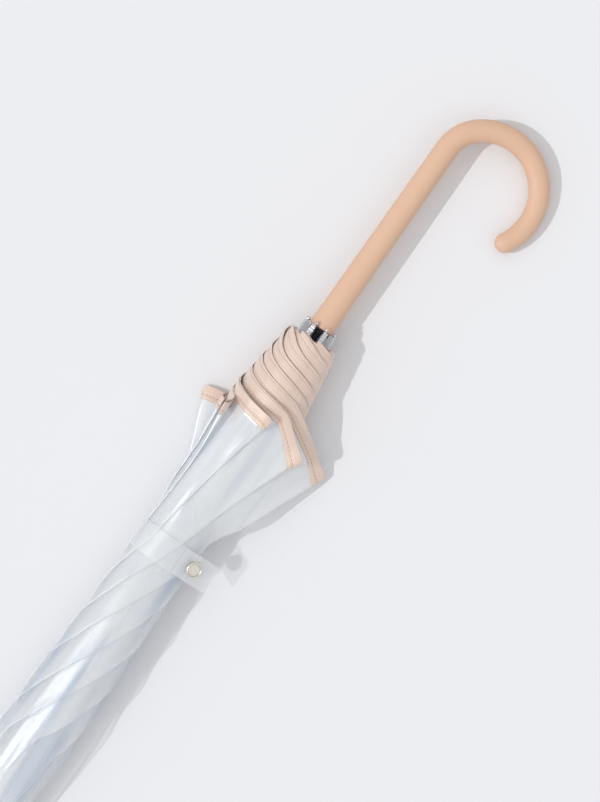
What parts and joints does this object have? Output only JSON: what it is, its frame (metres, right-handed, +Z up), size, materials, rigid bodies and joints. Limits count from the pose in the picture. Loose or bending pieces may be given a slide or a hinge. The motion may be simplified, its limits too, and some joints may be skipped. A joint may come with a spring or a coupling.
{
  "type": "stick umbrella",
  "caption": "Furled stick umbrella with a crook handle, clear film canopy, bound hem, sliding runner, hinged ribs with stretchers, and a snap strap.",
  "frame": {"origin": "centre of the ferrule's flat end, on the shaft axis", "axes": "+X along the shaft from ferrule to handle, +Z up as the umbrella lies, +Y to the side away from the hook"},
  "size_m": [0.8699, 0.1337, 0.0479],
  "materials": {
    "grip": "soft matte",
    "black_plastic": "moulded satin",
    "white_plastic": "moulded gloss",
    "steel": "bright plated",
    "white_coat": "white coated steel",
    "film": "clear glossy film",
    "binding": "satin woven tape",
    "snap": "champagne plated"
  },
  "bodies": {
    "stick": {"handle_grip": "grip", "shaft_tube": "white_coat", "ferrule": "white_plastic", "top_cap": "white_plastic", "crown_notch": "black_plastic", "crown_ring": "steel", "crown_pin": "steel", "runner_stop": "steel"},
    "runner": {"runner": "black_plastic", "runner_ring": "steel"},
    "closing_catch": {"closing_spring": "steel"},
    "opening_catch": {"opening_spring": "steel"},
    "strap_end": {"strap_tab": "film", "snap_cap": "snap", "snap_socket": "snap"},
    "rib_1": {"rib_1": "white_coat", "rib_tip_1": "steel"},
    "stretcher_1": {"stretcher_1": "white_coat"},
    "panel_1": {"canopy_panel_1": "film", "hem_1": "binding"},
    "rib_2": {"rib_2": "white_coat", "rib_tip_2": "steel"},
    "stretcher_2": {"stretcher_2": "white_coat"},
    "panel_2": {"canopy_panel_2": "film", "hem_2": "binding"},
    "rib_3": {"rib_3": "white_coat", "rib_tip_3": "steel", "strap_band": "film", "snap_stud": "snap"},
    "stretcher_3": {"stretcher_3": "white_coat"},
    "panel_3": {"canopy_panel_3": "film", "hem_3": "binding"},
    "rib_4": {"rib_4": "white_coat", "rib_tip_4": "steel"},
    "stretcher_4": {"stretcher_4": "white_coat"},
    "panel_4": {"canopy_panel_4": "film", "hem_4": "binding"},
    "rib_5": {"rib_5": "white_coat", "rib_tip_5": "steel"},
    "stretcher_5": {"stretcher_5": "white_coat"},
    "panel_5": {"canopy_panel_5": "film", "hem_5": "binding"},
    "rib_6": {"rib_6": "white_coat", "rib_tip_6": "steel"},
    "stretcher_6": {"stretcher_6": "white_coat"},
    "panel_6": {"canopy_panel_6": "film", "hem_6": "binding"},
    "rib_7": {"rib_7": "white_coat", "rib_tip_7": "steel"},
    "stretcher_7": {"stretcher_7": "white_coat"},
    "panel_7": {"canopy_panel_7": "film", "hem_7": "binding"},
    "rib_8": {"rib_8": "white_coat", "rib_tip_8": "steel"},
    "stretcher_8": {"stretcher_8": "white_coat"},
    "panel_8": {"canopy_panel_8": "film", "hem_8": "binding"}
  },
  "joints": [
    {"name": "rib_1_hinge", "type": "hinge", "parent": "stick", "child": "rib_1", "pos_m": [0.075, 0.00306, 0.00739], "axis": [0, -0.9239, 0.3827], "range_deg": [0, 61.66], "deforming": ["canopy_panel_1", "hem_1", "canopy_panel_2", "hem_2", "canopy_panel_3", "hem_3", "canopy_panel_4", "hem_4", "canopy_panel_5", "hem_5", "canopy_panel_6", "hem_6", "canopy_panel_7", "hem_7", "canopy_panel_8", "hem_8", "strap_band", "closing_spring", "opening_spring"]},
    {"name": "stretcher_1_pivot", "type": "hinge", "parent": "rib_1", "child": "stretcher_1", "pos_m": [0.32998, 0.00363, 0.00877], "axis": [0, -0.9239, 0.3827], "range_deg": [-123.33, 0]},
    {"name": "panel_1_fan", "type": "hinge", "parent": "rib_1", "child": "panel_1", "pos_m": [0.075, 0.00306, 0.00739], "axis": [0.0057, -0.1993, -0.9799], "range_deg": [0, 39.5]},
    {"name": "runner_pivot", "type": "hinge", "parent": "stretcher_1", "child": "runner", "pos_m": [0.58497, 0.00306, 0.00739], "axis": [0, -0.9239, 0.3827], "range_deg": [0, 61.67]},
    {"name": "rib_2_hinge", "type": "hinge", "parent": "stick", "child": "rib_2", "pos_m": [0.075, -0.00306, 0.00739], "axis": [0, -0.9239, -0.3827], "range_deg": [0, 61.66]},
    {"name": "stretcher_2_pivot", "type": "hinge", "parent": "rib_2", "child": "stretcher_2", "pos_m": [0.32998, -0.00363, 0.00877], "axis": [0, -0.9239, -0.3827], "range_deg": [-123.33, 0]},
    {"name": "panel_2_fan", "type": "hinge", "parent": "rib_2", "child": "panel_2", "pos_m": [0.075, -0.00306, 0.00739], "axis": [0.0057, 0.552, -0.8338], "range_deg": [0, 39.5]},
    {"name": "rib_3_hinge", "type": "hinge", "parent": "stick", "child": "rib_3", "pos_m": [0.075, -0.00739, 0.00306], "axis": [0, -0.3827, -0.9239], "range_deg": [0, 61.66]},
    {"name": "stretcher_3_pivot", "type": "hinge", "parent": "rib_3", "child": "stretcher_3", "pos_m": [0.32998, -0.00877, 0.00363], "axis": [0, -0.3827, -0.9239], "range_deg": [-123.33, 0]},
    {"name": "panel_3_fan", "type": "hinge", "parent": "rib_3", "child": "panel_3", "pos_m": [0.075, -0.00739, 0.00306], "axis": [0.0057, 0.9799, -0.1993], "range_deg": [0, 39.5]},
    {"name": "rib_4_hinge", "type": "hinge", "parent": "stick", "child": "rib_4", "pos_m": [0.075, -0.00739, -0.00306], "axis": [0, 0.3827, -0.9239], "range_deg": [0, 61.66]},
    {"name": "stretcher_4_pivot", "type": "hinge", "parent": "rib_4", "child": "stretcher_4", "pos_m": [0.32998, -0.00877, -0.00363], "axis": [0, 0.3827, -0.9239], "range_deg": [-123.33, 0]},
    {"name": "panel_4_fan", "type": "hinge", "parent": "rib_4", "child": "panel_4", "pos_m": [0.075, -0.00739, -0.00306], "axis": [0.0057, 0.8338, 0.552], "range_deg": [0, 39.5]},
    {"name": "rib_5_hinge", "type": "hinge", "parent": "stick", "child": "rib_5", "pos_m": [0.075, -0.00306, -0.00739], "axis": [0, 0.9239, -0.3827], "range_deg": [0, 61.66]},
    {"name": "stretcher_5_pivot", "type": "hinge", "parent": "rib_5", "child": "stretcher_5", "pos_m": [0.32998, -0.00363, -0.00877], "axis": [0, 0.9239, -0.3827], "range_deg": [-123.33, 0]},
    {"name": "panel_5_fan", "type": "hinge", "parent": "rib_5", "child": "panel_5", "pos_m": [0.075, -0.00306, -0.00739], "axis": [0.0057, 0.1993, 0.9799], "range_deg": [0, 39.5]},
    {"name": "rib_6_hinge", "type": "hinge", "parent": "stick", "child": "rib_6", "pos_m": [0.075, 0.00306, -0.00739], "axis": [0, 0.9239, 0.3827], "range_deg": [0, 61.66]},
    {"name": "stretcher_6_pivot", "type": "hinge", "parent": "rib_6", "child": "stretcher_6", "pos_m": [0.32998, 0.00363, -0.00877], "axis": [0, 0.9239, 0.3827], "range_deg": [-123.33, 0]},
    {"name": "panel_6_fan", "type": "hinge", "parent": "rib_6", "child": "panel_6", "pos_m": [0.075, 0.00306, -0.00739], "axis": [0.0057, -0.552, 0.8338], "range_deg": [0, 39.5]},
    {"name": "rib_7_hinge", "type": "hinge", "parent": "stick", "child": "rib_7", "pos_m": [0.075, 0.00739, -0.00306], "axis": [0, 0.3827, 0.9239], "range_deg": [0, 61.66]},
    {"name": "stretcher_7_pivot", "type": "hinge", "parent": "rib_7", "child": "stretcher_7", "pos_m": [0.32998, 0.00877, -0.00363], "axis": [0, 0.3827, 0.9239], "range_deg": [-123.33, 0]},
    {"name": "panel_7_fan", "type": "hinge", "parent": "rib_7", "child": "panel_7", "pos_m": [0.075, 0.00739, -0.00306], "axis": [0.0057, -0.9799, 0.1993], "range_deg": [0, 39.5]},
    {"name": "rib_8_hinge", "type": "hinge", "parent": "stick", "child": "rib_8", "pos_m": [0.075, 0.00739, 0.00306], "axis": [0, -0.3827, 0.9239], "range_deg": [0, 61.66]},
    {"name": "stretcher_8_pivot", "type": "hinge", "parent": "rib_8", "child": "stretcher_8", "pos_m": [0.32998, 0.00877, 0.00363], "axis": [0, -0.3827, 0.9239], "range_deg": [-123.33, 0]},
    {"name": "panel_8_fan", "type": "hinge", "parent": "rib_8", "child": "panel_8", "pos_m": [0.075, 0.00739, 0.00306], "axis": [0.0057, -0.8338, -0.552], "range_deg": [0, 39.5]},
    {"name": "strap_release", "type": "hinge", "parent": "rib_3", "child": "strap_end", "pos_m": [0.4767, -0.01252, 0.02169], "axis": [-1, 0, 0], "range_deg": [0, 110]},
    {"name": "closing_catch_press", "type": "slide", "parent": "stick", "child": "closing_catch", "axis": [0, 0, 1], "range_m": [0, 0.002], "stiffness_N_per_m": 400},
    {"name": "opening_catch_press", "type": "slide", "parent": "stick", "child": "opening_catch", "axis": [0, -0.7071, 0.7071], "range_m": [0, 0.002], "stiffness_N_per_m": 400}
  ],
  "couplings": [
    {"joint": "stretcher_1_pivot", "follows": "rib_1_hinge", "ratio": -2},
    {"joint": "panel_1_fan", "follows": "rib_1_hinge", "ratio": 0.64051},
    {"joint": "runner_pivot", "follows": "rib_1_hinge", "ratio": 1},
    {"joint": "rib_2_hinge", "follows": "rib_1_hinge", "ratio": 1},
    {"joint": "stretcher_2_pivot", "follows": "rib_1_hinge", "ratio": -2},
    {"joint": "panel_2_fan", "follows": "rib_1_hinge", "ratio": 0.64051},
    {"joint": "rib_3_hinge", "follows": "rib_1_hinge", "ratio": 1},
    {"joint": "stretcher_3_pivot", "follows": "rib_1_hinge", "ratio": -2},
    {"joint": "panel_3_fan", "follows": "rib_1_hinge", "ratio": 0.64051},
    {"joint": "rib_4_hinge", "follows": "rib_1_hinge", "ratio": 1},
    {"joint": "stretcher_4_pivot", "follows": "rib_1_hinge", "ratio": -2},
    {"joint": "panel_4_fan", "follows": "rib_1_hinge", "ratio": 0.64051},
    {"joint": "rib_5_hinge", "follows": "rib_1_hinge", "ratio": 1},
    {"joint": "stretcher_5_pivot", "follows": "rib_1_hinge", "ratio": -2},
    {"joint": "panel_5_fan", "follows": "rib_1_hinge", "ratio": 0.64051},
    {"joint": "rib_6_hinge", "follows": "rib_1_hinge", "ratio": 1},
    {"joint": "stretcher_6_pivot", "follows": "rib_1_hinge", "ratio": -2},
    {"joint": "panel_6_fan", "follows": "rib_1_hinge", "ratio": 0.64051},
    {"joint": "rib_7_hinge", "follows": "rib_1_hinge", "ratio": 1},
    {"joint": "stretcher_7_pivot", "follows": "rib_1_hinge", "ratio": -2},
    {"joint": "panel_7_fan", "follows": "rib_1_hinge", "ratio": 0.64051},
    {"joint": "rib_8_hinge", "follows": "rib_1_hinge", "ratio": 1},
    {"joint": "stretcher_8_pivot", "follows": "rib_1_hinge", "ratio": -2},
    {"joint": "panel_8_fan", "follows": "rib_1_hinge", "ratio": 0.64051}
  ]
}
